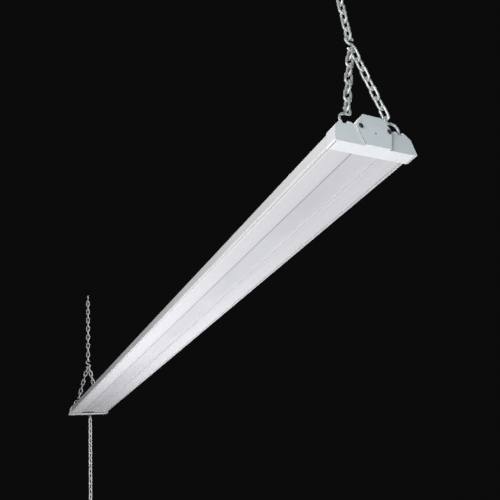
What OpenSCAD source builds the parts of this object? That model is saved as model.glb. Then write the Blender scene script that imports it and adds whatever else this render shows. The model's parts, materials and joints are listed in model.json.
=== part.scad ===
// Hanging shop light: a long twin-trough LED fixture on two chain bridles, with a pull-chain switch.
// X runs along the fixture (+X is the near end), Y across it, Z up. Millimetres.
// The origin lies midway between the two ceiling hooks, where their upper loops carry the load.

/* [Cross-section] */
// Overall length over the centre plates
fixture_len = 1222; // [900:1:1500]
// Width over the end caps at the bottom lip
cap_w = 95.5; // [94:0.5:103]
// Width over the two shoulders
shoulder_w = 88.6; // [86:0.2:90]
// Height of the shoulders above the bottom lip
shoulder_h = 17.4; // [16:0.1:19]
// Width over the outer corners of the flat wing tops
wing_outer_w = 74.5; // [72:0.5:76]
// Width over the inner corners of the flat wing tops
wing_inner_w = 50; // [48:0.5:51]
// Height of the flat wing tops
wing_h = 24.2; // [23:0.1:26]
// Width across the bottoms of the two notches
notch_w = 41.2; // [40:0.2:42]
// Height of the notches between the wings and the centre hump
notch_h = 21; // [20.4:0.1:21.6]
// Width of the hump at its lower bend
hump_w = 31; // [30:0.2:32]
// Height of the hump's lower bend
hump_bend_h = 29.6; // [28.8:0.1:30.2]
// Width of the flat on top of the hump
hump_top_w = 22; // [20:0.2:23]
// Height of the fixture at the hump
fixture_h = 34.8; // [34:0.1:37]
// Outer radius of the folds
fold_r = 3; // [2.6:0.1:3.4]

/* [Sheet metal] */
// Thickness of the housing and driver cover sheet
sheet = 0.8; // [0.6:0.1:1]
// Thickness of the end cap sheet
cap_wall = 1; // [0.8:0.1:1.2]
// Clearance between an end cap and the housing inside it
cap_gap = 0.2; // [0.15:0.05:0.3]
// Depth of the end cap flange along the fixture
cap_depth = 14; // [13:0.5:22]
// Thickness of the centre plate on each end cap
plate_t = 0.8; // [0.6:0.1:1]
// How far the centre plate stands out from the end cap
plate_stand = 2.2; // [1.6:0.1:3]
// Height of the housing skirts above the inside of the end cap's lip
skirt_rise = 1.5; // [0.5:0.1:2]
// Width of the channel hem along the bottom of each skirt
hem_w = 3.4; // [3.2:0.1:4.4]
// Width of the flat centre strip under the driver cover
strip_w = 30.6; // [30:0.2:32]
// Height of the centre strip above the bottom of the skirts
strip_recess = 2.5; // [2.2:0.1:3]
// Width of the driver cover over its walls, where they meet the strip
cover_base_w = 24; // [23:0.2:25]
// Width of the centre plate at the bottom lip
plate_foot_w = 29.2; // [27:0.2:32]
// Width of the open corner seam in the end cap lip
seam_w = 1; // [0.6:0.1:1.4]

/* [Lenses and lamps] */
// Thickness of the frosted lens
lens_t = 1.5; // [1.2:0.1:2]
// Side clearance of a lens
lens_gap = 0.3; // [0.2:0.05:0.5]
// Outer radius of a lens's rounded lower edges
lens_fold_r = 2.5; // [2:0.1:3]
// Width of the lip by which a lens lies on its hem
lens_lip_w = 1.6; // [1.4:0.1:1.8]
// Thickness of the lens lips
lens_lip_t = 1; // [0.8:0.1:1.4]
// Number of lamps on each board
led_count = 60; // [24:1:90]
// Width of a lamp board
board_w = 9; // [7:0.2:9.6]
// Thickness of a lamp board
board_t = 1.2; // [1:0.1:1.6]
// Distance from the fixture end to the end of a lamp board
board_end = 32; // [28:1:60]
// Length of one lamp along the board
led_l = 3.5; // [2.8:0.1:5]
// Width of one lamp
led_w = 2.8; // [2.2:0.1:4]
// Height of one lamp
led_t = 0.8; // [0.6:0.1:1.2]

/* [Electrical parts] */
// Length of the driver case
driver_l = 190; // [120:1:240]
// Width of the driver case
driver_w = 17; // [14:0.5:18]
// Height of the driver case
driver_h = 15; // [12:0.5:17]
// Length of each driver mounting ear
driver_ear = 10; // [8:0.5:14]
// Thickness of the driver mounting ears
driver_ear_t = 1; // [0.8:0.1:1.4]
// Radius of the small screws' shanks
screw_r = 1.5; // [1.3:0.1:1.6]
// Radius of the small screws' heads
screw_head_r = 2.4; // [2.2:0.1:2.6]
// Height of the small screws' heads
screw_head_h = 1.5; // [1.2:0.1:2]
// Distance of the terminal block from the pull switch side end
terminal_from_end = 90; // [80:1:140]
// Length of the terminal block
terminal_l = 22; // [16:1:30]
// Width of the terminal block
terminal_w = 12; // [10:0.5:14]
// Height of the terminal block
terminal_h = 11; // [9:0.5:14]
// Radius of the insulated leads
lead_r = 0.9; // [0.7:0.1:1.1]
// Distance of the cord inlet from the pull switch side end
inlet_from_end = 60; // [50:1:100]
// Radius of the cord inlet's bore
inlet_r = 4.5; // [3.5:0.1:5]
// Radius of the hole that the cord inlet snaps into
inlet_hole_r = 6.35; // [6:0.05:6.8]
// Height of the cord inlet above the hump
inlet_rise = 2; // [1.5:0.1:3]
// Length of the cord inlet's collar below the sheet
inlet_drop = 5; // [4:0.2:7]
// Half the distance between the surface-mounting screw holes
mount_hole_x = 500; // [300:1:540]
// Radius of the surface-mounting screw holes
mount_hole_r = 3; // [2:0.1:4]

/* [Pull switch] */
// Distance of the pull chain from the fixture end
pull_from_end = 9.5; // [9:0.1:10.5]
// Offset of the pull chain from the middle of the fixture
pull_y = 4; // [3:0.1:4.5]
// Length of the switch body
switch_l = 16; // [13:0.5:24]
// Width of the switch body
switch_w = 10; // [9:0.2:10.4]
// Height of the switch body
switch_h = 17; // [14:0.5:19]
// Outer radius of the switch nozzle
nozzle_r = 4; // [3.6:0.1:4.4]
// How far the nozzle stands below the bottom lip
nozzle_drop = 5; // [4.6:0.1:8]
// Thickness of the nozzle nut
nut_t = 2.4; // [2:0.1:3]
// Width of the nozzle nut across its flats
nut_af = 11; // [10.4:0.2:12]
// Radius of the pull rod
rod_r = 1.3; // [1.1:0.05:1.5]
// Radial clearance of the pull rod in the nozzle
rod_gap = 0.1; // [0.05:0.01:0.1]
// Travel of the pull rod
pull_travel = 6; // [4:0.5:7]
// Length of the pull rod that stays inside the switch when it is pulled
rod_guide = 4; // [3:0.5:4.5]
// Wire radius of the eye under the pull rod
eye_wire_r = 0.9; // [0.8:0.05:1]
// Centreline radius of the eye under the pull rod
eye_r = 3; // [2.8:0.1:4]
// Radius of the pull knob
knob_r = 5.5; // [4:0.5:8]
// Height of the pull knob below its neck
knob_h = 20; // [14:1:30]

/* [Chains and hooks] */
// Wire radius of the chain links
link_wire_r = 1.25; // [1.1:0.05:1.3]
// Inside length of a link
link_pitch = 12; // [11:0.1:14]
// Inside width of a link
link_gap_w = 4.4; // [4.2:0.1:5]
// Clearance between one link and the next
link_slack = 0.15; // [0.1:0.05:0.25]
// Clearance at a seat between a link and a hook, and at the turning links
seat_gap = 0.25; // [0.15:0.05:0.3]
// Wire radius of the S-hooks
hook_wire_r = 1.25; // [1.1:0.05:1.3]
// Centreline radius of the wing hooks' lower bend
wing_hook_r = 7.6; // [7.2:0.1:8]
// Centreline radius of the wing hooks' upper bend
wing_hook_top_r = 3.9; // [3.8:0.1:4.6]
// Centreline radius of the bridle hooks' bends
apex_hook_r = 4.8; // [4.7:0.1:5.4]
// Centreline radius of the ceiling hooks' bends
top_hook_r = 4.6; // [4.5:0.1:6]
// Distance of the hook plane from the fixture end
hook_from_end = 5.6; // [5.4:0.1:6]
// Distance from the middle of the fixture to the seat of a wing hook
hook_seat_y = 28.8; // [28.4:0.1:29.2]
// Length of a hook slot along the fixture
slot_l = 8; // [7:0.1:8.4]
// Depth of the nick that each slot leaves in the end wall
slot_nick = 3.2; // [2.8:0.1:4]
// Width of a hook slot across the fixture
slot_w = 6.4; // [6.2:0.1:6.8]
// Number of links in each bridle leg, an odd number
leg_links = 7; // [3:2:13]
// Number of links in each upper chain below its turning link, an odd number
upper_links = 13; // [5:2:29]
// Number of links in the pull chain below its turning link
pull_links = 16; // [8:1:30]
// Angle by which the pull chain hangs turned about the vertical
pull_angle = 32; // [0:1:45]

/* [Hidden] */
$fn = 48;

// Colours, as the photograph shows them
paint_white = [0.93, 0.93, 0.94];
cap_grey = [0.80, 0.83, 0.84];
strip_white = [0.86, 0.86, 0.88];
lens_white = [0.95, 0.94, 0.98];
zinc = [0.72, 0.73, 0.75];
dark_steel = [0.32, 0.33, 0.35];
board_colour = [0.90, 0.91, 0.88];
led_yellow = [0.96, 0.86, 0.45];
driver_black = [0.16, 0.16, 0.17];
block_cream = [0.88, 0.85, 0.76];
lead_black = [0.10, 0.10, 0.10];

cut = 1;                         // how far a cutting solid runs past what it cuts
arc_step = 12;                   // degrees between the points of a fold
half_len = fixture_len / 2;

// Outline helpers: p is a closed list of points, anticlockwise
function unit(v) = v / norm(v);
function left_of(a, b) = let (d = unit(b - a)) [-d[1], d[0]];
function before(p, i) = p[(i + len(p) - 1) % len(p)];
function after(p, i) = p[(i + 1) % len(p)];
function inset(p, d) = [
    for (i = [0 : len(p) - 1])
        let (n1 = left_of(before(p, i), p[i]), n2 = left_of(p[i], after(p, i)))
            p[i] + d * (n1 + n2) / (1 + n1 * n2)
];
function both_halves(p) = concat(p, [for (i = [len(p) - 1 : -1 : 0]) [-p[i][0], p[i][1]]]);
function turn(p, i) = let (
    a = unit(p[i] - before(p, i)),
    b = unit(after(p, i) - p[i])
) atan2(a[0] * b[1] - a[1] * b[0], a * b);
// Every corner becomes an arc of radius r[i], points arc_step or less apart; 0 keeps it sharp
function folded(p, r) = [
    for (i = [0 : len(p) - 1])
        let (
            t = turn(p, i),
            side = sign(t),
            d = unit(p[i] - before(p, i)),
            n = [-d[1], d[0]] * side,
            start = p[i] - d * r[i] * tan(abs(t) / 2),
            centre = start + n * r[i],
            steps = r[i] > 0 ? max(1, ceil(abs(t) / arc_step)) : 0
        )
        for (k = [0 : steps])
            let (a = t * k / max(1, steps))
                centre - r[i] * (cos(a) * n - sin(abs(a)) * d)
];

// Outlines of the fixture, in the Y-Z plane
lip_r = 1.2;                     // radius of the end cap's lower corners
cap_corners = both_halves([
    [cap_w / 2, 0], [shoulder_w / 2, shoulder_h], [wing_outer_w / 2, wing_h],
    [wing_inner_w / 2, wing_h], [notch_w / 2, notch_h], [hump_w / 2, hump_bend_h],
    [hump_top_w / 2, fixture_h]
]);
half_radii = [lip_r, fold_r, fold_r, fold_r, fold_r, fold_r, fold_r];
fold_radii = concat(half_radii, [for (i = [len(half_radii) - 1 : -1 : 0]) half_radii[i]]);
cap_outline = folded(cap_corners, fold_radii);
cap_bore = inset(cap_outline, cap_wall);

skirt_z = cap_wall + skirt_rise;         // underside of the skirts and the lenses
shell_in = cap_wall + cap_gap;
shell_corners_all = inset(cap_corners, shell_in);
shell_last = len(shell_corners_all) - 1;
skirt_slope = (cap_w - shoulder_w) / 2 / shoulder_h;
skirt_y = shell_corners_all[1][0] + skirt_slope * (shell_corners_all[1][1] - skirt_z);
shell_corners = [
    for (i = [0 : shell_last])
        i == 0 ? [skirt_y, skirt_z] : i == shell_last ? [-skirt_y, skirt_z] : shell_corners_all[i]
];
shell_radii = [
    for (i = [0 : shell_last])
        (i == 0 || i == shell_last) ? lip_r : (abs(i - shell_last / 2) == 2.5 ? fold_r + shell_in : fold_r - shell_in)
];
shell_outline = folded(shell_corners, shell_radii);
shell_bore = inset(shell_outline, sheet);
shell_len = fixture_len - 2 * (plate_stand + cap_wall + cap_gap);
cap_face_x = half_len - plate_stand;  // outer face of the near end cap

wing_under_z = wing_h - shell_in - sheet;
hump_under_z = fixture_h - shell_in - sheet;
hump_over_z = fixture_h - shell_in;
notch_points = [for (p = shell_bore) if (p[0] > hump_w / 2 && p[0] < wing_inner_w / 2) p];
notch_under_z = min([for (p = notch_points) p[1]]);
notch_under_y = notch_w / 2 - (shell_in + sheet) / 3;
seat_line = 0.2;                 // running clearance where sheet meets sheet
strip_z = skirt_z + strip_recess;        // underside of the centre strip
floor_z = strip_z + sheet;               // top of the strip, and of the hems that carry the lenses
hem_y = skirt_y - hem_w;                 // inner face of the right-hand hem
cover_top_z = notch_under_z - seat_line;
cover_top_y = notch_under_y;
wall_slope = (cover_top_y - cover_base_w / 2) / (cover_top_z - floor_z);
wall_y = sheet * sqrt(1 + wall_slope * wall_slope);

// Half-width of the driver cover's outer wall at height z
function cover_wall_y(z) = cover_base_w / 2 + wall_slope * (z - floor_z);

// Chains: a link's centreline is a straight-sided oval
link_half = link_pitch / 2 + link_wire_r;
link_bend_r = (link_gap_w + 2 * link_wire_r) / 2;
hook_rise = link_wire_r + hook_wire_r + seat_gap;
turn_rise = 2 * link_wire_r + seat_gap;
link_step = link_pitch - link_slack;
hook_x = half_len - hook_from_end;
hook_reach = 2 * (wing_hook_r + wing_hook_top_r) - hook_wire_r - seat_gap;
leg_run = 2 * link_half + (leg_links - 1) * link_step - hook_rise;
leg_gap = link_wire_r + seat_gap / 2;        // each leg's offset from the middle at the bridle hook
leg_spread = hook_seat_y - leg_gap;
leg_head_z = wing_under_z + sqrt(pow(hook_reach + leg_run, 2) - pow(leg_spread, 2));
leg_tilt = atan2(leg_spread, leg_head_z - wing_under_z);
// Centreline of the bridle hook's lower bend at its lowest point
apex_z = leg_head_z - apex_hook_r + sqrt(pow(apex_hook_r - hook_rise, 2) - pow(leg_gap, 2));
apex_top_z = apex_z + 4 * apex_hook_r;
upper_low_z = apex_top_z - hook_rise;        // lowest centreline point of the upper chain
upper_high_z = upper_low_z + 2 * link_half + (upper_links - 1) * link_step;
swing_z = upper_high_z - turn_rise;          // axis of the lengthwise swing, in the turning link's lower bend
sway_z = swing_z + 2 * link_half - hook_rise; // axis of the sideways sway, in the ceiling hook's lower bend
ceiling_z = sway_z + 4 * top_hook_r - hook_wire_r;  // inside top of the ceiling hook: where it hangs
hook_axis_z = wing_under_z - hook_wire_r - seat_gap;

// Pull chain
pull_x = -(half_len - pull_from_end);
rod_low_z = -nozzle_drop - 2;
rod_top_z = floor_z + pull_travel + rod_guide;
eye_z = rod_low_z - eye_r;
eye_low_z = eye_z - eye_r;                   // axis of the pull chain's sideways swing
pull_high_z = eye_low_z + link_wire_r + eye_wire_r + seat_gap;
pull_turn_z = pull_high_z - 2 * link_half;   // axis of the pull chain's lengthwise swing
pull_first_z = pull_turn_z + turn_rise - link_half;
pull_last_low_z = pull_first_z - (pull_links - 1) * link_step - link_half;
knob_ring_r = 3;
knob_ring_z = pull_last_low_z + 2 * link_wire_r + seat_gap - knob_ring_r;

// Moves what is drawn with z = 0 at the bottom lip to the ceiling origin
module hang() {
    translate([0, 0, -ceiling_z]) children();
}

// The far end is the mirror image of the near end
module at_end(far) {
    mirror([far ? 1 : 0, 0, 0]) children();
}

// Extrudes an outline of the Y-Z plane along X, centred
module bar(p, length) {
    rotate([90, 0, 90]) linear_extrude(height = length, center = true) polygon(p);
}

// Part of a ring of round wire in the X-Y plane, from angle a0 to a1
module wire_arc(r, wire_r, a0, a1) {
    rotate([0, 0, a0]) rotate_extrude(angle = a1 - a0) translate([r, 0]) circle(r = wire_r);
}

// Chain link in the X-Z plane, long axis along Z, centred
module link() {
    straight = link_half - link_bend_r;
    rotate([90, 0, 0]) {
        translate([0, straight, 0]) wire_arc(link_bend_r, link_wire_r, 0, 180);
        translate([0, -straight, 0]) wire_arc(link_bend_r, link_wire_r, 180, 360);
    }
    for (side = [-1, 1])
        translate([side * link_bend_r, 0, -straight]) cylinder(r = link_wire_r, h = 2 * straight);
}

// Links downwards from z = 0, the highest centreline point; the first lies across Y if cross is 0
module links(count, step, cross) {
    for (i = [0 : count - 1])
        translate([0, 0, -link_half - i * step]) rotate([0, 0, 90 * ((i + cross) % 2)]) link();
}

// S-hook in the X-Y plane, its lower bend's centre at the origin, the load along +Y.
// tip_low and tip_high say how far each bend runs past its seat.
module s_hook(r_low, r_high, tip_low, tip_high) {
    mirror([1, 0, 0]) {
        wire_arc(r_low, hook_wire_r, 90, 270 + tip_low);
        translate([0, r_low + r_high, 0]) wire_arc(r_high, hook_wire_r, 270, 450 + tip_high);
    }
}

// Ceiling hooks
module top_hook(far) {
    color(zinc) hang() at_end(far) translate([hook_x, 0, sway_z + top_hook_r])
        rotate([90, 0, 0]) s_hook(top_hook_r, top_hook_r, 75, 75);
}
module near_top_hook() { top_hook(false); }
module far_top_hook() { top_hook(true); }

// Turning links, which let the light sway sideways on the ceiling hooks
module top_link(far) {
    color(zinc) hang() at_end(far) translate([hook_x, 0, swing_z + link_half]) rotate([0, 0, 90]) link();
}
module near_top_link() { top_link(false); }
module far_top_link() { top_link(true); }

// Upper chains, from the turning link down to the bridle hook
module upper_chain(far) {
    color(zinc) hang() at_end(far) translate([hook_x, 0, upper_high_z]) links(upper_links, link_step, 0);
}
module near_upper_chain() { upper_chain(false); }
module far_upper_chain() { upper_chain(true); }

// Bridle hooks, which gather the two legs under each upper chain
module apex_hook(far) {
    color(zinc) hang() at_end(far) translate([hook_x, 0, apex_z + apex_hook_r])
        rotate([90, 0, 90]) s_hook(apex_hook_r, apex_hook_r, 70, 70);
}
module near_apex_hook() { apex_hook(false); }
module far_apex_hook() { apex_hook(true); }

// Bridle legs, from the bridle hook down to a wing hook; side is 1 on the right, -1 on the left
module leg(far, side) {
    color(zinc) hang() at_end(far) translate([hook_x, side * leg_gap, leg_head_z])
        rotate([side * leg_tilt, 0, 0]) links(leg_links, link_step, 0);
}
module near_left_leg() { leg(false, -1); }
module near_right_leg() { leg(false, 1); }
module far_left_leg() { leg(true, -1); }
module far_right_leg() { leg(true, 1); }

// Wing hooks: the lower bend drops through the slot and catches the inner edge from below
module wing_hook(far, side) {
    centre_rise = wing_hook_r - hook_wire_r - seat_gap;
    color(zinc) hang() at_end(far) translate([hook_x, side * hook_seat_y, wing_under_z])
        rotate([side * leg_tilt, 0, 0]) translate([0, 0, centre_rise]) mirror([0, side < 0 ? 1 : 0, 0])
            rotate([90, 0, 90]) s_hook(wing_hook_r, wing_hook_top_r, 20, 60);
}
module near_left_hook() { wing_hook(false, -1); }
module near_right_hook() { wing_hook(false, 1); }
module far_left_hook() { wing_hook(true, -1); }
module far_right_hook() { wing_hook(true, 1); }

// The four slots for the wing hooks, which run out through the end walls as nicks
module hook_slots() {
    for (end = [-1, 1], side = [-1, 1])
        translate([end * hook_x - slot_l / 2, side > 0 ? hook_seat_y : -hook_seat_y - slot_w, wing_h - slot_nick])
            cube([slot_l, slot_w, slot_nick + cut]);
}

// Folded housing: skirts with channel hems, wing tops, notches and the centre hump
module housing() {
    color(paint_white) hang() difference() {
        union() {
            difference() {
                bar(shell_outline, shell_len);
                bar(shell_bore, shell_len + 2 * cut);
                translate([-half_len, -hem_y, skirt_z - cut]) cube([fixture_len, 2 * hem_y, sheet + cut]);
            }
            for (side = [-1, 1])
                translate([-shell_len / 2, side > 0 ? hem_y : -hem_y - sheet, skirt_z])
                    cube([shell_len, sheet, floor_z - skirt_z]);
        }
        hook_slots();
        for (side = [-1, 1])
            translate([side * mount_hole_x, 0, hump_under_z - cut])
                cylinder(r = mount_hole_r, h = sheet + 2 * cut);
        translate([inlet_from_end - half_len, 0, hump_under_z - cut])
            cylinder(r = inlet_hole_r, h = sheet + 2 * cut);
    }
}

// Driver cover: the flat centre strip, whose edges carry the lenses, and the leaning inner walls
driver_ear_x = driver_l / 2 + driver_ear / 2;
led_lead_x = driver_l / 2 - 12;
led_lead_z = floor_z + driver_h / 2 + 2;
module driver_cover() {
    section = both_halves([
        [strip_w / 2, strip_z], [strip_w / 2, floor_z], [cover_base_w / 2, floor_z],
        [cover_top_y, cover_top_z], [cover_top_y - wall_y, cover_top_z],
        [cover_base_w / 2 - wall_y, floor_z]
    ]);
    color(strip_white) hang() difference() {
        bar(section, shell_len);
        for (side = [-1, 1])
            translate([side * driver_ear_x, 0, strip_z - cut]) cylinder(r = screw_r, h = sheet + 2 * cut);
        translate([pull_x, pull_y, strip_z - cut]) cylinder(r = nozzle_r + seat_line, h = sheet + 2 * cut);
        translate([led_lead_x, 0, led_lead_z]) rotate([90, 0, 0])
            cylinder(r = lead_r + seat_line, h = cap_w / 2, center = true);
    }
}

// Frosted lenses: shallow pans with rounded lower edges, whose lips lie on the hem and the strip
module lens(side) {
    in_y = strip_w / 2 + lens_gap;
    out_y = hem_y - lens_gap;
    lip_in_y = cover_wall_y(floor_z + lens_lip_t) + lens_gap;
    lip_out_y = out_y + lens_lip_w;
    lip_top_z = floor_z + lens_lip_t;
    inner_r = lens_fold_r - lens_t;
    section = folded([
        [in_y, skirt_z], [out_y, skirt_z],
        [out_y, floor_z], [lip_out_y, floor_z], [lip_out_y, lip_top_z], [out_y - lens_t, lip_top_z],
        [out_y - lens_t, skirt_z + lens_t], [in_y + lens_t, skirt_z + lens_t],
        [in_y + lens_t, lip_top_z], [lip_in_y, lip_top_z], [lip_in_y, floor_z], [in_y, floor_z]
    ], [lens_fold_r, lens_fold_r, 0, 0, 0, 0, inner_r, inner_r, 0, 0, 0, 0]);
    color(lens_white) hang() mirror([0, side < 0 ? 1 : 0, 0]) bar(section, shell_len - 2 * seat_line);
}
module left_lens() { lens(-1); }
module right_lens() { lens(1); }

// Lamp boards under the wing tops, and their lamps
board_y = (wing_outer_w + wing_inner_w) / 4;
board_len = fixture_len - 2 * board_end;
module led_board(side) {
    color(board_colour) hang() translate([-board_len / 2, side * board_y - board_w / 2, wing_under_z - board_t])
        cube([board_len, board_w, board_t]);
}
module left_led_board() { led_board(-1); }
module right_led_board() { led_board(1); }

module leds(side) {
    pitch = board_len / led_count;
    color(led_yellow) hang() for (i = [0 : led_count - 1])
        translate([
            -board_len / 2 + (i + 0.5) * pitch - led_l / 2,
            side * board_y - led_w / 2,
            wing_under_z - board_t - led_t
        ]) cube([led_l, led_w, led_t]);
}
module left_leds() { leds(-1); }
module right_leds() { leds(1); }

// Driver, its mounting ears and screws, on the floor of the driver cover
module driver_case() {
    color(driver_black) hang() difference() {
        union() {
            translate([-driver_l / 2, -driver_w / 2, floor_z]) cube([driver_l, driver_w, driver_h]);
            translate([-driver_l / 2 - driver_ear, -driver_w / 2, floor_z])
                cube([driver_l + 2 * driver_ear, driver_w, driver_ear_t]);
        }
        for (side = [-1, 1])
            translate([side * driver_ear_x, 0, floor_z - cut]) cylinder(r = screw_r, h = driver_ear_t + 2 * cut);
    }
}

module driver_screws() {
    color(zinc) hang() for (side = [-1, 1]) translate([side * driver_ear_x, 0, 0]) {
        translate([0, 0, strip_z]) cylinder(r = screw_r, h = floor_z + driver_ear_t - strip_z);
        translate([0, 0, floor_z + driver_ear_t]) cylinder(r = screw_head_r, h = screw_head_h);
    }
}

// Terminal block that joins the supply, the switch and the driver
terminal_x = terminal_from_end - half_len;
module terminal_block() {
    bay = terminal_l / 4;
    color(block_cream) hang() difference() {
        translate([terminal_x - terminal_l / 2, -terminal_w / 2, floor_z]) cube([terminal_l, terminal_w, terminal_h]);
        for (i = [-1, 0, 1])
            translate([terminal_x + i * bay * 1.2, 0, floor_z + terminal_h / 2])
                cylinder(r = screw_r, h = terminal_h);
    }
}

// Leads inside the driver cover
lead_y = terminal_w / 4;
lead_z = floor_z + terminal_h / 2 - 1;
module lead_pair(x0, x1) {
    for (side = [-1, 1])
        translate([x0, side * lead_y, lead_z]) rotate([0, 90, 0]) cylinder(r = lead_r, h = x1 - x0);
}
module supply_leads() {
    color(lead_black) hang() lead_pair(terminal_x + terminal_l / 2, -driver_l / 2);
}

switch_x0 = cap_wall + seat_line - cap_face_x;
module switch_leads() {
    color(lead_black) hang() for (side = [0, 1])
        translate([switch_x0 + switch_l, lead_y - side * 2.5 * lead_r, lead_z]) rotate([0, 90, 0])
            cylinder(r = lead_r, h = terminal_x - terminal_l / 2 - switch_x0 - switch_l);
}

// Output leads, out through the cover walls and up to the lamp boards
module led_leads() {
    bend_r = 4;
    reach = board_y - bend_r - driver_w / 2;
    color(lead_black) hang() for (side = [-1, 1]) mirror([0, side < 0 ? 1 : 0, 0])
        translate([led_lead_x, driver_w / 2, led_lead_z]) {
            rotate([-90, 0, 0]) cylinder(r = lead_r, h = reach);
            translate([0, reach, bend_r]) rotate([90, 0, 90]) wire_arc(bend_r, lead_r, -90, 0);
            translate([0, reach + bend_r, bend_r])
                cylinder(r = lead_r, h = wing_under_z - board_t - led_lead_z - bend_r);
        }
}

// Snap-in cord inlet on the hump, near the pull switch
module cord_inlet() {
    flange_r = inlet_hole_r + 1.4;
    color(driver_black) hang() translate([inlet_from_end - half_len, 0, 0]) difference() {
        union() {
            translate([0, 0, hump_over_z]) cylinder(r = flange_r, h = inlet_rise);
            translate([0, 0, hump_under_z - inlet_drop]) cylinder(r = inlet_hole_r, h = inlet_drop + sheet);
        }
        translate([0, 0, hump_under_z - inlet_drop - cut])
            cylinder(r = inlet_r, h = inlet_drop + sheet + inlet_rise + 2 * cut);
    }
}

// Pull switch: body inside the strip, nozzle down through the strip and the end cap lip
module pull_switch() {
    bore_r = rod_r + rod_gap;
    color(driver_black) hang() difference() {
        union() {
            translate([switch_x0, pull_y - switch_w / 2, floor_z]) cube([switch_l, switch_w, switch_h]);
            translate([pull_x, pull_y, -nozzle_drop]) cylinder(r = nozzle_r, h = nozzle_drop + floor_z + cut);
        }
        translate([pull_x, pull_y, -nozzle_drop - cut])
            cylinder(r = bore_r, h = nozzle_drop + rod_top_z + 2 * cut);
    }
}

module switch_nut() {
    color(zinc) hang() translate([pull_x, pull_y, -nut_t]) difference() {
        cylinder(r = nut_af / sqrt(3), h = nut_t, $fn = 6);
        translate([0, 0, -cut]) cylinder(r = nozzle_r, h = nut_t + 2 * cut);
    }
}

// Places what hangs on the pull rod, drawn about the Z axis
module at_pull() {
    hang() translate([pull_x, pull_y, 0]) rotate([0, 0, pull_angle]) children();
}

// Pull rod with the eye that the pull chain hangs from
module switch_eye() {
    color(zinc) at_pull() {
        translate([0, 0, rod_low_z]) cylinder(r = rod_r, h = rod_top_z - rod_low_z);
        translate([0, 0, eye_z]) rotate([90, 0, 0]) wire_arc(eye_r, eye_wire_r, 0, 360);
    }
}

module pull_top_link() {
    color(zinc) at_pull() translate([0, 0, pull_high_z - link_half]) rotate([0, 0, 90]) link();
}

module pull_chain() {
    color(zinc) at_pull() translate([0, 0, pull_first_z + link_half]) links(pull_links, link_step, 0);
}

// Bell-shaped pull knob on a ring
module pull_knob() {
    neck_r = 1.6;
    neck_z = knob_ring_z - knob_ring_r;
    cross = (pull_links + 1) % 2;
    color(paint_white) at_pull() {
        translate([0, 0, knob_ring_z]) rotate([0, 0, 90 * (1 - cross)]) rotate([90, 0, 0])
            wire_arc(knob_ring_r, link_wire_r, 0, 360);
        translate([0, 0, neck_z - knob_h]) rotate_extrude() polygon([
            [0, 0], [knob_r * 0.7, 0], [knob_r * 0.95, knob_h * 0.06], [knob_r, knob_h * 0.18],
            [knob_r * 0.92, knob_h * 0.4], [knob_r * 0.68, knob_h * 0.64], [neck_r, knob_h * 0.86],
            [neck_r, knob_h], [0, knob_h]
        ]);
    }
}

// End caps: an end wall and a flange folded round the housing, open at the lower corner seams
module end_cap(far) {
    cap_len = cap_depth + cap_wall;
    color(cap_grey) hang() difference() {
        at_end(far) difference() {
            translate([cap_face_x - cap_len / 2, 0, 0]) bar(cap_outline, cap_len);
            translate([cap_face_x - cap_wall - cap_len / 2, 0, 0]) bar(cap_bore, cap_len);
            for (side = [-1, 1])
                translate([
                    cap_face_x - cap_len - cut,
                    side * (cap_w / 2 - lip_r - seam_w) - seam_w / 2,
                    -cut
                ]) cube([cap_depth + cut, seam_w, cap_wall + 1.5 * cut]);
            cap_screw_places() cylinder(r = screw_r, h = 4 * cap_wall, center = true);
        }
        hook_slots();
        if (far) translate([pull_x, pull_y, -cut]) cylinder(r = nozzle_r + seat_line, h = cap_wall + 2 * cut);
    }
}
module near_end_cap() { end_cap(false); }
module far_end_cap() { end_cap(true); }

// Where the centre plate's screws sit, on the outer face of the near end cap
cap_screw_y = notch_w / 2 - 4;
cap_screw_z = notch_h - 1;
module cap_screw_places() {
    for (side = [-1, 1])
        translate([cap_face_x, side * cap_screw_y, cap_screw_z]) rotate([0, 90, 0]) children();
}

// Centre plates: they follow the hump above the notches and lean in to the lip below them. They stand
// out from the end cap on a bottom return and two pressed bosses, open at both sides.
module centre_plate(far) {
    pin_hole_r = 1;
    pin_hole_z = notch_h - 6;
    boss_r = screw_head_r + 0.6;
    outline = both_halves([
        [plate_foot_w / 2, 0], [notch_w / 2, notch_h],
        [hump_w / 2, hump_bend_h], [hump_top_w / 2, fixture_h]
    ]);
    plate_outline = folded(outline, [for (p = outline) 0.8]);
    return_w = plate_foot_w - 2 * plate_t;
    color(cap_grey) hang() at_end(far) difference() {
        union() {
            translate([half_len - plate_t / 2, 0, 0]) bar(plate_outline, plate_t);
            translate([cap_face_x, -return_w / 2, 0]) cube([plate_stand - plate_t / 2, return_w, plate_t]);
            cap_screw_places() cylinder(r = boss_r, h = plate_stand - plate_t / 2);
        }
        cap_screw_places() translate([0, 0, -cut]) cylinder(r = screw_r, h = plate_stand + 2 * cut);
        translate([half_len, 0, pin_hole_z]) rotate([0, 90, 0])
            cylinder(r = pin_hole_r, h = 3 * plate_t, center = true);
    }
}
module near_centre_plate() { centre_plate(false); }
module far_centre_plate() { centre_plate(true); }

// Screws that hold a centre plate: a shank through plate and cap, and a low head on the plate
module cap_screws(far) {
    tail = 3;
    color(dark_steel) hang() at_end(far) cap_screw_places() {
        translate([0, 0, -cap_wall - tail]) cylinder(r = screw_r, h = plate_stand + cap_wall + tail);
        translate([0, 0, plate_stand]) cylinder(r = screw_head_r, h = screw_head_h);
    }
}
module near_cap_screws() { cap_screws(false); }
module far_cap_screws() { cap_screws(true); }

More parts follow.
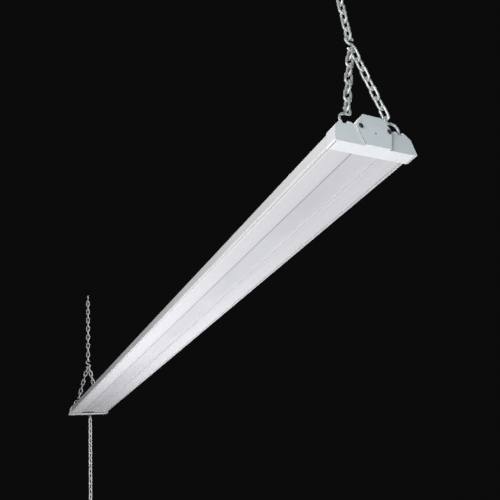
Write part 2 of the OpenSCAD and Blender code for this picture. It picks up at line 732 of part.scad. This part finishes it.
near_top_hook();
far_top_hook();
near_top_link();
far_top_link();
near_upper_chain();
near_apex_hook();
near_left_leg();
near_right_leg();
near_left_hook();
near_right_hook();
far_upper_chain();
far_apex_hook();
far_left_leg();
far_right_leg();
far_left_hook();
far_right_hook();
housing();
driver_cover();
left_lens();
right_lens();
left_led_board();
right_led_board();
left_leds();
right_leds();
driver_case();
driver_screws();
terminal_block();
supply_leads();
switch_leads();
led_leads();
cord_inlet();
pull_switch();
switch_nut();
switch_eye();
pull_top_link();
pull_chain();
pull_knob();
near_end_cap();
far_end_cap();
near_centre_plate();
far_centre_plate();
near_cap_screws();
far_cap_screws();
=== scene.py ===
"""Looks of the hanging shop light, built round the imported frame. Metres, in the row's frame."""
import json
import math
import random

import bpy
import numpy as np
from mathutils import Matrix, Vector


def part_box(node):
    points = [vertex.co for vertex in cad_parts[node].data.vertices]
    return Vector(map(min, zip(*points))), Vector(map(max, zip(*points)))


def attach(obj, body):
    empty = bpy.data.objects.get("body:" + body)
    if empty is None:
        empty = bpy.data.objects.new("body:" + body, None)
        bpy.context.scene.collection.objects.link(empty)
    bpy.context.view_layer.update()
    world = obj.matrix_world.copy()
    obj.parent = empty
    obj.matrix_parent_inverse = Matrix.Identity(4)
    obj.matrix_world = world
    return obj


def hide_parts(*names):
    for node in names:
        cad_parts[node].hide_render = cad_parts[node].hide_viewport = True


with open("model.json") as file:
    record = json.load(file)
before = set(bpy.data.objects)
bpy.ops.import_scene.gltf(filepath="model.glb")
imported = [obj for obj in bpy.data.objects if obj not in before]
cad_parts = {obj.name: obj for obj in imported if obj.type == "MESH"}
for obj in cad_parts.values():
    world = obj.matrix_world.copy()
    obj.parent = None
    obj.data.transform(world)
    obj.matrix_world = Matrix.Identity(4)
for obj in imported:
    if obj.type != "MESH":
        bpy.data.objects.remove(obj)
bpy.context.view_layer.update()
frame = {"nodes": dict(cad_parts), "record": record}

MM = 0.001
CEILING = -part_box("near_end_cap")[0][2]   # height of the origin over the end caps' bottom lip
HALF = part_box("near_centre_plate")[1][0]  # outer face of the near centre plate
WHITE, BLACK = (1.0, 1.0, 1.0), (0.0, 0.0, 0.0)


def angles(turns):
    return [2 * math.pi * j / turns for j in range(turns)]


# ---------------------------------------------------------------- materials


class Tree:
    """A procedural material in the making: most methods add a node and hand back its result."""

    def __init__(self, name):
        self.mat = bpy.data.materials.new(name)
        self.mat.use_nodes = True
        self.bsdf = self.mat.node_tree.nodes["Principled BSDF"]
        self.coord = self.add("ShaderNodeTexCoord").outputs["Object"]

    def add(self, kind, **props):
        node = self.mat.node_tree.nodes.new(kind)
        for key, value in props.items():
            setattr(node, key, value)
        return node

    def put(self, socket, value):
        """Link another node's result to a socket, or set a number, vector or RGB colour on it."""
        if isinstance(value, bpy.types.NodeSocket):
            self.mat.node_tree.links.new(value, socket)
        else:
            socket.default_value = (*value, 1.0) if socket.type == "RGBA" else value

    def scaled(self, scale):
        """Place on the object, with each axis scaled."""
        node = self.add("ShaderNodeMapping")
        self.put(node.inputs["Vector"], self.coord)
        self.put(node.inputs["Scale"], scale)
        return node.outputs["Vector"]

    def noise(self, scale, detail=3.0, rough=0.55, vector=None):
        node = self.add("ShaderNodeTexNoise")
        self.put(node.inputs["Vector"], vector or self.coord)
        self.put(node.inputs["Scale"], scale)
        self.put(node.inputs["Detail"], detail)
        self.put(node.inputs["Roughness"], rough)
        return node.outputs["Fac"]

    def cells(self, scale):
        """Distance to the nearest of many scattered points."""
        node = self.add("ShaderNodeTexVoronoi")
        self.put(node.inputs["Vector"], self.coord)
        self.put(node.inputs["Scale"], scale)
        return node.outputs["Distance"]

    def ramp(self, value, low, high, a, b):
        """From a at low to b at high, and level beyond."""
        node = self.add("ShaderNodeMapRange", clamp=True)
        self.put(node.inputs["Value"], value)
        for key, number in (("From Min", low), ("From Max", high), ("To Min", a), ("To Max", b)):
            self.put(node.inputs[key], number)
        return node.outputs["Result"]

    def math(self, op, a, b=0.0):
        node = self.add("ShaderNodeMath", operation=op)
        self.put(node.inputs[0], a)
        self.put(node.inputs[1], b)
        return node.outputs["Value"]

    def times(self, a, b):
        return self.math("MULTIPLY", a, b)

    def size(self, value):
        return self.math("ABSOLUTE", value)

    def mix(self, fac, a, b):
        """Colour a where fac is 0, b where it is 1."""
        node = self.add("ShaderNodeMix", data_type="RGBA")
        self.put(node.inputs["Factor"], fac)
        for socket, value in zip([s for s in node.inputs if s.type == "RGBA"], (a, b)):
            self.put(socket, value)
        return [s for s in node.outputs if s.type == "RGBA"][0]

    def bump(self, height, distance, strength, normal=None):
        node = self.add("ShaderNodeBump")
        self.put(node.inputs["Height"], height)
        self.put(node.inputs["Distance"], distance)
        self.put(node.inputs["Strength"], strength)
        if normal is not None:
            self.put(node.inputs["Normal"], normal)
        return node.outputs["Normal"]

    def edge(self, radius):
        """1 along sharp edges and 0 on flat ground, and the normal rounded over the edges."""
        rounded = self.add("ShaderNodeBevel", samples=6)
        self.put(rounded.inputs["Radius"], radius)
        dot = self.add("ShaderNodeVectorMath", operation="DOT_PRODUCT")
        self.put(dot.inputs[0], rounded.outputs["Normal"])
        self.put(dot.inputs[1], self.add("ShaderNodeNewGeometry").outputs["Normal"])
        return self.ramp(dot.outputs["Value"], 0.80, 0.985, 1.0, 0.0), rounded.outputs["Normal"]

    def split(self, vector):
        node = self.add("ShaderNodeSeparateXYZ")
        self.put(node.inputs[0], vector)
        return list(node.outputs)

    def place(self):
        """X, Y and Z in the row's frame."""
        return self.split(self.coord)

    def facing(self):
        """X, Y and Z of the surface's outward normal."""
        return self.split(self.add("ShaderNodeNewGeometry").outputs["True Normal"])

    def done(self, colour, rough, normal, **sockets):
        """Put the results on the shader. A socket's name is written with _ for its spaces."""
        sockets.update(Base_Color=colour, Roughness=rough, Normal=normal)
        for key, value in sockets.items():
            self.put(self.bsdf.inputs[key.replace("_", " ")], value)
        return self.mat


def shade(colour, factor):
    return tuple(c * factor for c in colour)


def painted(name, base, dark, rough=0.38, gloss=0.5, painted_down_shade=1.0, edge_shade_from=None, seam=None):
    """White powder coat: orange peel, faint grime and thin worn edges.

    painted_down_shade: tone of the faces that look down, a painted shade that makes them duller.
    edge_shade_from: X past which upright faces that look sideways get a painted shade, dark grey.
    seam: Y up to which the sheet is painted dark, a painted shadow of the left lens's edge.
    """
    t = Tree(name)
    streaks = t.noise(26.0, vector=t.scaled((0.25, 1.0, 1.0)))
    grime = t.ramp(t.times(t.noise(9.0, 4.0), streaks), 0.16, 0.40, 0.0, 1.0)
    edges, rounded = t.edge(0.6 * MM)
    chips = t.times(edges, t.ramp(t.noise(260.0), 0.52, 0.66, 0.0, 0.35))
    # Colours for real worn steel, and for two painted shades: dark edge faces and the shadow along
    # the seam.
    worn_steel, edge_shade_grey, painted_seam_shadow = (0.56, 0.57, 0.58), (0.16, 0.165, 0.17), (0.25, 0.245, 0.265)
    colour = t.mix(chips, t.mix(grime, dark, base), worn_steel)
    # Painted shade: the faces that look down are made darker.
    if painted_down_shade < 1.0:
        looks_down = t.ramp(t.facing()[2], -0.50, 0.0, 1.0, 0.0)
        colour = t.mix(looks_down, colour, shade(base, painted_down_shade))
    # Painted shade: upright faces that look sideways, past the given X, are made dark grey.
    if edge_shade_from:
        facing = t.facing()
        sideways = t.ramp(t.size(facing[1]), 0.7, 0.8, 0.0, 1.0)
        not_up = t.ramp(facing[2], 0.05, 0.15, 1.0, 0.0)
        outside = t.ramp(t.size(t.place()[0]), edge_shade_from, edge_shade_from + 0.1 * MM, 0.0, 1.0)
        colour = t.mix(t.times(t.times(sideways, outside), not_up), colour, edge_shade_grey)
    # Painted shadow: a dark band along the strip's left edge, up to the given Y.
    if seam:
        shaded = t.ramp(t.place()[1], seam, seam + 1.2 * MM, 1.0, 0.0)
        colour = t.mix(shaded, colour, painted_seam_shadow)
    peel = t.bump(t.noise(1100.0, 2.0, 0.5), 0.06 * MM, 0.35, rounded)
    roughness = t.ramp(t.noise(60.0, 4.0), 0.3, 0.7, rough - 0.05, rough + 0.07)
    return t.done(colour, roughness, peel, Specular_IOR_Level=gloss)


def frosted(name, base, glow):
    """Frosted lens: fine grain on a milky sheet, darker towards its inner fold by a painted shade.

    Painted light: its walls and lips glow, by the amount glow at the inner side and half of it
    outwards.
    """
    t = Tree(name)
    aside = t.size(t.place()[1])              # distance from the middle of the light
    # Painted shade: the sheet darkens towards its inner fold.
    at_fold = t.ramp(aside, 16.0 * MM, 19.0 * MM, 0.84, 1.0)
    by_fold = t.ramp(aside, 17.5 * MM, 26.0 * MM, 0.95, 1.0)
    # Painted light: the lens's walls and lips are made to glow by emission.
    wall = t.ramp(t.size(t.facing()[2]), 0.15, 0.5, 1.0, 0.0)
    lip = t.ramp(t.place()[2], 4.2 * MM - CEILING, 4.6 * MM - CEILING, 0.0, 1.0)
    painted_glow = t.times(t.math("MAXIMUM", wall, lip),
                     t.ramp(aside, 19.0 * MM, 36.0 * MM, glow, 0.5 * glow))
    cloud = t.ramp(t.noise(5.0, vector=t.scaled((0.3, 1.0, 1.0))), 0.35, 0.65, 0.0, 1.0)
    specks = t.ramp(t.cells(420.0), 0.02, 0.05, 0.93, 1.0)
    colour = t.mix(specks, (0.70, 0.70, 0.74), t.mix(cloud, shade(base, 0.965), base))
    colour = t.mix(t.times(at_fold, by_fold), BLACK, colour)
    grain = t.bump(t.noise(1900.0, 2.0, 0.6), 0.04 * MM, 0.4)
    rough = t.ramp(t.noise(140.0), 0.3, 0.7, 0.42, 0.55)
    return t.done(colour, rough, grain, Emission_Color=(0.95, 0.94, 1.0), Emission_Strength=painted_glow)


def zinc(name, base, rough, metal=1.0):
    """Zinc plate on wire or screws: dull patches, dark pits and a fine grain."""
    t = Tree(name)
    patch = t.noise(330.0, 4.0)
    tone = t.mix(t.ramp(patch, 0.35, 0.68, 0.0, 1.0), shade(base, 0.66), base)
    pits = t.ramp(t.noise(1500.0, 2.0), 0.34, 0.44, 0.0, 1.0)
    colour = t.mix(pits, shade(base, 0.42), tone)
    grain = t.bump(t.noise(2100.0, 2.0), 0.03 * MM, 0.35)
    roughness = t.ramp(patch, 0.3, 0.7, rough + 0.14, rough - 0.04)
    return t.done(colour, roughness, grain, Metallic=metal)


def plastic(name, base, rough=0.45, grain=900.0, depth=0.04 * MM):
    """Moulded plastic: spark-eroded grain, faint swirls of colour and edges rubbed lighter."""
    t = Tree(name)
    swirl = t.ramp(t.noise(70.0, 4.0), 0.3, 0.7, 0.0, 1.0)
    edges, rounded = t.edge(0.3 * MM)
    rubbed = tuple(min(1.0, c * 1.3 + 0.03) for c in base)
    colour = t.mix(t.times(edges, 0.25), t.mix(swirl, shade(base, 0.86), base), rubbed)
    roughness = t.ramp(t.noise(160.0), 0.3, 0.7, rough - 0.06, rough + 0.08)
    return t.done(colour, roughness, t.bump(t.noise(grain), depth, 0.4, rounded))


MATS = {
    "white_paint": painted("white_paint", (0.76, 0.76, 0.77), (0.68, 0.68, 0.70), painted_down_shade=0.70),
    "strip_paint": painted("strip_paint", (0.56, 0.56, 0.59), (0.50, 0.50, 0.53), rough=0.42,
                           gloss=0.3, seam=-0.0142),
    "cap_paint": painted("cap_paint", (0.76, 0.775, 0.805), (0.69, 0.705, 0.73), rough=0.40,
                         edge_shade_from=0.6092),
    "frosted_lens": frosted("frosted_lens", (0.58, 0.575, 0.61), glow=0.33),
    "zinc_wire": zinc("zinc_wire", (0.78, 0.78, 0.79), rough=0.44, metal=0.6),
    "dark_screw": zinc("dark_screw", (0.16, 0.165, 0.17), rough=0.34),
    "black_plastic": plastic("black_plastic", (0.030, 0.030, 0.032)),
    "cream_plastic": plastic("cream_plastic", (0.62, 0.58, 0.46)),
    "lead_sheath": plastic("lead_sheath", (0.02, 0.02, 0.02), rough=0.5, grain=2000.0),
    "white_plastic": plastic("white_plastic", (0.80, 0.80, 0.78), rough=0.24, grain=600.0,
                             depth=0.01 * MM),
    "lamp_board": plastic("lamp_board", (0.74, 0.76, 0.72), rough=0.35),
    "lamp": plastic("lamp", (0.82, 0.66, 0.18), rough=0.3),
}
slot_of = {s["node"]: s["material_slot"] for s in frame["record"]["subparts"]}
for node, obj in frame["nodes"].items():
    obj.data.materials.clear()
    obj.data.materials.append(MATS[slot_of[node]])

# ---------------------------------------------------------------- tools for the finer pieces


def piece(name, verts, faces, body, material, smooth=60.0):
    """A mesh that rides on a body. Edges that turn by more than smooth degrees stay sharp."""
    mesh = bpy.data.meshes.new(name)
    mesh.from_pydata([tuple(v) for v in verts], [], faces)
    mesh.validate()
    obj = bpy.data.objects.new(name, mesh)
    bpy.context.collection.objects.link(obj)
    mesh.materials.append(MATS[material])
    mesh.shade_smooth()
    mesh.set_sharp_from_angle(angle=math.radians(smooth))
    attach(obj, body)
    return obj


def placed(verts, turn, place):
    """Millimetre points turned by a matrix and put at a place of the row's frame in metres."""
    m = Matrix.Translation(place) @ turn.to_4x4() @ Matrix.Scale(MM, 4)
    return [m @ Vector(v) for v in verts]


def circle(radius, z, turns):
    return [(radius * math.cos(a), radius * math.sin(a), z) for a in angles(turns)]


def grid_faces(rows, cols, ring=False):
    """Quads of rows of cols points, each row closed. With ring, the last row joins the first."""
    return [(i * cols + j, i * cols + (j + 1) % cols,
             (i + 1) % rows * cols + (j + 1) % cols, (i + 1) % rows * cols + j)
            for i in range(rows if ring else rows - 1) for j in range(cols)]


def ease(x):
    """Smooth step from 0 to 1."""
    x = min(1.0, max(0.0, x))
    return x * x * (3 - 2 * x)


def curve_through(points, steps):
    """Catmull-Rom points through a short list of 2-D points, with steps of them to each stretch."""
    out = []
    for i in range(len(points) - 1):
        before, after = points[max(0, i - 1)], points[min(len(points) - 1, i + 2)]
        for k in range(steps):
            t = k / steps
            out.append(tuple(
                0.5 * (2 * b + (c - a) * t + (2 * a - 5 * b + 4 * c - d) * t * t
                       + (3 * b - a - 3 * c + d) * t ** 3)
                for a, b, c, d in zip(before, points[i], points[i + 1], after)))
    return out + [points[-1]]


def lathe(profile):
    """Closed solid of revolution about Z. Its profile, (radius, height), ends on the axis twice."""
    turns = 64
    inner = profile[1:-1]
    verts = [v for r, z in inner for v in circle(r, z, turns)]
    low, high, end = len(verts), len(verts) + 1, (len(inner) - 1) * turns
    verts += [(0.0, 0.0, profile[0][1]), (0.0, 0.0, profile[-1][1])]
    faces = grid_faces(len(inner), turns)
    faces += [(low, (j + 1) % turns, j) for j in range(turns)]
    faces += [(high, end + j, end + (j + 1) % turns) for j in range(turns)]
    return verts, faces


def screw_solid(head_r, head_h, shank_r, shank, tip):
    """Pan head with a cross recess and a threaded shank, in millimetres: seat at z = 0, head up."""
    turns, rings = 72, 26
    arm = head_r * 0.62                                    # reach of the recess's arms
    arm_half, arm_slope = 0.26, 0.2                        # half width, and width of its slope
    recess = min(0.95, head_h * 0.7)                       # depth
    pitch, thread, step = 0.8, 0.28, 0.2                   # thread's depth, height of a row
    point, point_r = 1.2, 0.45                             # tapered end, and how thin it gets

    def top(r):
        return head_h * (0.62 + 0.38 * math.sqrt(max(0.0, 1 - (r / head_r) ** 2)))

    def in_arm(u, v):
        """1 inside the arm along u, 0 outside."""
        along = 1 - ease((abs(u) - arm * 0.82) / (arm * 0.3))
        return along * (1 - ease((abs(v) - arm_half) / arm_slope))

    verts = []
    for i in range(rings):
        r = head_r * i / (rings - 1)
        share = 1 - 0.35 * r / arm if r < arm else 0.65    # the recess is deepest in the middle
        for x, y, _ in circle(r, 0.0, turns):
            verts.append((x, y, top(r) - recess * max(in_arm(x, y), in_arm(y, x)) * share))
    faces = grid_faces(rings, turns)

    base = (rings - 1) * turns
    rim = [(head_r, 0.12 * head_h), (head_r - 0.12, 0.0), (shank_r, 0.0)]
    verts += [v for r, z in rim for v in circle(r, z, turns)]
    rows = max(4, int(shank / step))
    for i in range(1, rows + 1):
        z = -shank * i / rows
        taper = 1.0 if z > -shank + point else point_r + (1 - point_r) * (z + shank) / point
        for j, a in enumerate(angles(turns)):
            wave = abs(((z / pitch - j / turns) % 1.0) * 2 - 1)
            r = (shank_r - thread * wave) * taper
            verts.append((r * math.cos(a), r * math.sin(a), z))
    count = len(rim) + rows
    faces += [tuple(base + k for k in f) for f in grid_faces(count + 1, turns)]

    verts.append((0.0, 0.0, -shank - tip))
    last, end = len(verts) - 1, base + count * turns
    faces += [(end + j, end + (j + 1) % turns, last) for j in range(turns)]
    return verts, faces


def nut_solid(flats, thick, bore_r):
    """Hexagon nut that hangs below z = 0, in millimetres, with chamfered lower corners."""
    turns = 96
    edge, sunk = 0.12, 0.02                                # height of the chamfer on the flats
    rows = [[], [], [], [], [], []]
    for a in angles(turns):
        out = flats / 2 / math.cos(math.radians((math.degrees(a) % 60) - 30))
        chamfer = (out - flats / 2) * 0.6
        column = [(bore_r, -thick + 0.05), (bore_r + 0.28, -thick), (flats / 2 * 0.97, -thick),
                  (out, -thick + edge + chamfer), (out, -sunk), (bore_r, -sunk)]
        for row, (radius, z) in zip(rows, column):
            row.append((radius * math.cos(a), radius * math.sin(a), z))
    return [v for row in rows for v in row], grid_faces(len(rows), turns, ring=True)


def tube(path, radii):
    """Round wire along a closed path of Vectors."""
    sides = 14
    aheads = [(path[(i + 1) % len(path)] - path[i - 1]).normalized() for i in range(len(path))]
    side = aheads[0].orthogonal().normalized()
    verts = []
    for centre, along, radius in zip(path, aheads, radii):
        side = (side - along * side.dot(along)).normalized()
        up = along.cross(side)
        verts += [centre + (side * math.cos(a) + up * math.sin(a)) * radius for a in angles(sides)]
    faces = grid_faces(len(path), sides)
    # The sections come round turned by some angle, so the last row joins to the nearest points
    shift = min(range(sides), key=lambda k: (verts[k] - verts[-sides]).length)
    base = len(verts) - sides
    faces += [(base + j, base + (j + 1) % sides, (j + 1 + shift) % sides, (j + shift) % sides)
              for j in range(sides)]
    return verts, faces


# ---------------------------------------------------------------- screws, nut and bell

eye_low, eye_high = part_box("switch_eye")
PULL = Vector(((eye_low[0] + eye_high[0]) / 2, (eye_low[1] + eye_high[1]) / 2, -CEILING))

# Centre plate screws: pan heads with a cross recess, each turned its own way
HEAD_R, HEAD_H, SHANK_R, TIP = 2.4, 1.5, 1.5, 0.2          # millimetres
screws_low, screws_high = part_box("near_cap_screws")
screw_y = screws_high[1] - HEAD_R * MM
screw_z = (screws_low[2] + screws_high[2]) / 2
verts, faces = screw_solid(HEAD_R, HEAD_H, SHANK_R, (HALF - screws_low[0]) / MM - TIP, TIP)
for end, side, along, across, turn in (("near", "left", 1, -1, 79), ("near", "right", 1, 1, 119),
                                       ("far", "left", -1, -1, 17), ("far", "right", -1, 1, 57)):
    spin = Matrix.Rotation(math.radians(turn), 3, "Z")
    outward = Matrix.Rotation(math.radians(90 * along), 3, "Y")
    place = (along * HALF, across * screw_y, screw_z)
    screw = piece(f"{end}_{side}_cap_screw", placed(verts, outward @ spin, place), faces,
                  "fixture", "dark_screw", 40.0)
    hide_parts(f"{end}_cap_screws")

# Nut on the nozzle of the pull switch
verts, faces = nut_solid(flats=11.0, thick=2.4, bore_r=4.02)
nut = piece("nozzle_nut", placed(verts, Matrix.Identity(3), PULL), faces,
            "fixture", "zinc_wire", 35.0)
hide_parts("switch_nut")

# Pull bell: a hollow moulded bell that hangs on its wire ring. Radius and height in millimetres
low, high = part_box("pull_knob")
outer = curve_through([(4.6, 0.0), (5.25, 0.5), (5.5, 3.2), (5.25, 7.2), (4.15, 11.8), (2.5, 15.6),
                       (1.75, 17.6), (1.6, 19.2)], 8)
inner = curve_through([(0.6, 11.2), (2.0, 10.4), (3.4, 7.0), (4.15, 3.0), (4.4, 0.4)], 6)
verts, faces = lathe([(0.0, 11.3)] + inner + outer + [(1.3, 19.9), (0.6, 20.0), (0.0, 20.0)])
bell = piece("pull_bell", placed(verts, Matrix.Identity(3), (PULL.x, PULL.y, low[2])), faces,
             "pull_string", "white_plastic", 50.0)
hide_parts("pull_knob")

# ---------------------------------------------------------------- chains

WIRE = 1.25 * MM                                   # radius of the wire
LINK_HALF, LINK_BEND = 7.25 * MM, 3.45 * MM        # half length and bend radius of its centre line
SIDE_STEPS, WELD_STEPS, BEND_STEPS = 8, 12, 20     # points on a plain side, the welded side, a bend
chance = random.Random(7)


def islands(obj):
    """Point sets of a node's separate solids, the highest first."""
    owner = {}

    def find(a):
        while owner[a] != a:
            owner[a] = owner[owner[a]]
            a = owner[a]
        return a

    keys = [tuple(round(c * 1e6) for c in v.co) for v in obj.data.vertices]
    for k in keys:
        owner.setdefault(k, k)
    for poly in obj.data.polygons:
        ids = [find(keys[i]) for i in poly.vertices]
        for k in ids[1:]:
            owner[find(k)] = find(ids[0])
    groups = {}
    for k in owner:
        groups.setdefault(find(k), []).append(Vector(k) * 1e-6)
    return sorted(groups.values(), key=lambda g: -max(p.z for p in g))


def principal(points):
    """Middle, long axis and thin axis of a link's points."""
    spread = np.array([tuple(p) for p in points])
    middle = (spread.min(axis=0) + spread.max(axis=0)) / 2
    axes = np.linalg.eigh(np.cov(spread.T))[1]
    return Vector(middle), Vector(axes[:, 2]).normalized(), Vector(axes[:, 0]).normalized()


def link_tube(points):
    """A link in the CAD link's place: round wire with a weld swelling on one straight side."""
    mid, long_axis, thin = principal(points)
    wide = long_axis.cross(thin).normalized()
    if long_axis.z < 0:
        long_axis = -long_axis
    wide *= 1 if chance.random() < 0.5 else -1     # the side with the weld
    straight = LINK_HALF - LINK_BEND
    bend = [math.pi * k / BEND_STEPS for k in range(BEND_STEPS)]
    path, radii = [], []
    for k in range(WELD_STEPS):
        u = k / WELD_STEPS * 2 - 1
        path.append(mid + wide * LINK_BEND + long_axis * straight * u)
        off = straight * u / (0.55 * MM)           # distance from the weld's middle, in its lengths
        radii.append(WIRE * (1.0 + 0.13 * math.exp(-off * off) - (0.07 if abs(off) < 0.3 else 0.0)))
    path += [mid + long_axis * (straight + LINK_BEND * math.sin(a)) + wide * LINK_BEND * math.cos(a)
             for a in bend]
    path += [mid - wide * LINK_BEND + long_axis * straight * (1 - k / SIDE_STEPS * 2)
             for k in range(SIDE_STEPS)]
    path += [mid - long_axis * (straight + LINK_BEND * math.sin(a)) - wide * LINK_BEND * math.cos(a)
             for a in bend]
    return tube(path, radii + [WIRE] * (len(path) - WELD_STEPS))


BODY_OF = {n: b for b, names in frame["record"]["behaviour"]["bodies"].items() for n in names}
for node in [n for n in frame["nodes"] if n.endswith(("_chain", "_leg", "_top_link"))]:
    verts, faces = [], []
    for points in islands(frame["nodes"][node]):
        link_verts, link_faces = link_tube(points)
        faces += [tuple(len(verts) + k for k in face) for face in link_faces]
        verts += link_verts
    links = piece(node + "_links", verts, faces, BODY_OF[node], "zinc_wire")
    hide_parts(node)

# Ring of the pull bell. It crosses the last link of the pull chain
RING_R = 3.0 * MM
turned = math.radians(32)
ring_z = high[2] - WIRE - RING_R
ring = [Vector((PULL.x + RING_R * math.cos(a) * math.cos(turned),
                PULL.y + RING_R * math.cos(a) * math.sin(turned),
                ring_z + RING_R * math.sin(a))) for a in angles(40)]
verts, faces = tube(ring, [WIRE] * len(ring))
bell_ring = piece("pull_bell_ring", verts, faces, "pull_string", "zinc_wire")
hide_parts("pull_knob")

# ---------------------------------------------------------------- camera, light and floor

# Fitted to the photo. The axes are the picture's right, its down and the view's direction
PHOTO_PX, FOCAL_PX, SENSOR = 500.0, 602.0, 36.0
right = Vector((0.4346522484, 0.8932901544, -0.1144994453))
down = Vector((-0.4200990226, 0.0886477653, -0.9031380763))
ahead = Vector((-0.7966142317, 0.4406521006, 0.4138012712))
camera = bpy.data.cameras.new("camera")
camera.sensor_width = SENSOR
camera.lens = FOCAL_PX * SENSOR / PHOTO_PX
camera.clip_start = 0.01
eye = bpy.data.objects.new("camera", camera)
bpy.context.collection.objects.link(eye)
eye.matrix_world = Matrix.Translation((0.96101956, -0.34244580, -0.30167836 - CEILING)) @ Matrix(
    (right, -down, -ahead)).transposed().to_4x4()
bpy.context.scene.camera = eye


def area_light(name, place, target, size, power, colour=WHITE):
    data = bpy.data.lights.new(name, "AREA")
    data.shape = "RECTANGLE"
    data.size, data.size_y = size
    data.energy = power
    data.color = colour
    obj = bpy.data.objects.new(name, data)
    bpy.context.collection.objects.link(obj)
    obj.location = place
    obj.rotation_euler = (Vector(target) - Vector(place)).to_track_quat("-Z", "Y").to_euler()
    obj.visible_camera = False


area_light("below", (0.10, -0.35, -1.20), (0.10, 0.0, -0.3), (0.7, 0.6), 0.8)
area_light("middle", (-0.04, -0.12, -0.80), (-0.04, 0.0, -0.3), (0.5, 0.4), 3.45)
area_light("near", (0.85, -0.20, -1.00), (0.55, 0.0, -0.3), (0.5, 0.5), 4.3)
area_light("side", (0.95, -0.95, -0.15), (0.45, 0.0, -0.28), (0.7, 0.7), 11.5)
area_light("front", (2.1, 0.35, -0.10), (0.6, 0.0, -0.26), (0.8, 0.8), 3.0, (0.42, 0.92, 0.95))
area_light("top", (-0.5, 0.95, 1.3), (-0.3, 0.0, -0.2), (2.0, 0.9), 20.0)
area_light("back", (-0.5, 2.0, 0.25), (-0.1, 0.0, -0.25), (2.4, 0.8), 30.0)
area_light("ground", (0.0, 0.0, -0.8), (0.0, 0.0, -1.9), (12.0, 12.0), 92.0)

world = bpy.data.worlds.new("studio")
world.use_nodes = True
backdrop = world.node_tree.nodes["Background"].inputs["Color"]
backdrop.default_value = (0.0036, 0.0036, 0.0038, 1.0)
bpy.context.scene.world = world

# Plain pale floor, well below the light
mesh = bpy.data.meshes.new("floor")
mesh.from_pydata([(-9, -9, 0), (9, -9, 0), (9, 9, 0), (-9, 9, 0)], [], [(0, 1, 2, 3)])
floor = bpy.data.objects.new("floor", mesh)
bpy.context.collection.objects.link(floor)
floor.location = (0.0, 0.0, -1.9)
t = Tree("floor_paint")
floor_tone = t.mix(t.noise(2.0, 4.0), (0.60, 0.60, 0.60), (0.66, 0.66, 0.65))
mesh.materials.append(t.done(floor_tone, 0.75, t.bump(t.noise(160.0), 0.3 * MM, 0.3)))

bpy.context.scene.view_settings.view_transform = "Standard"
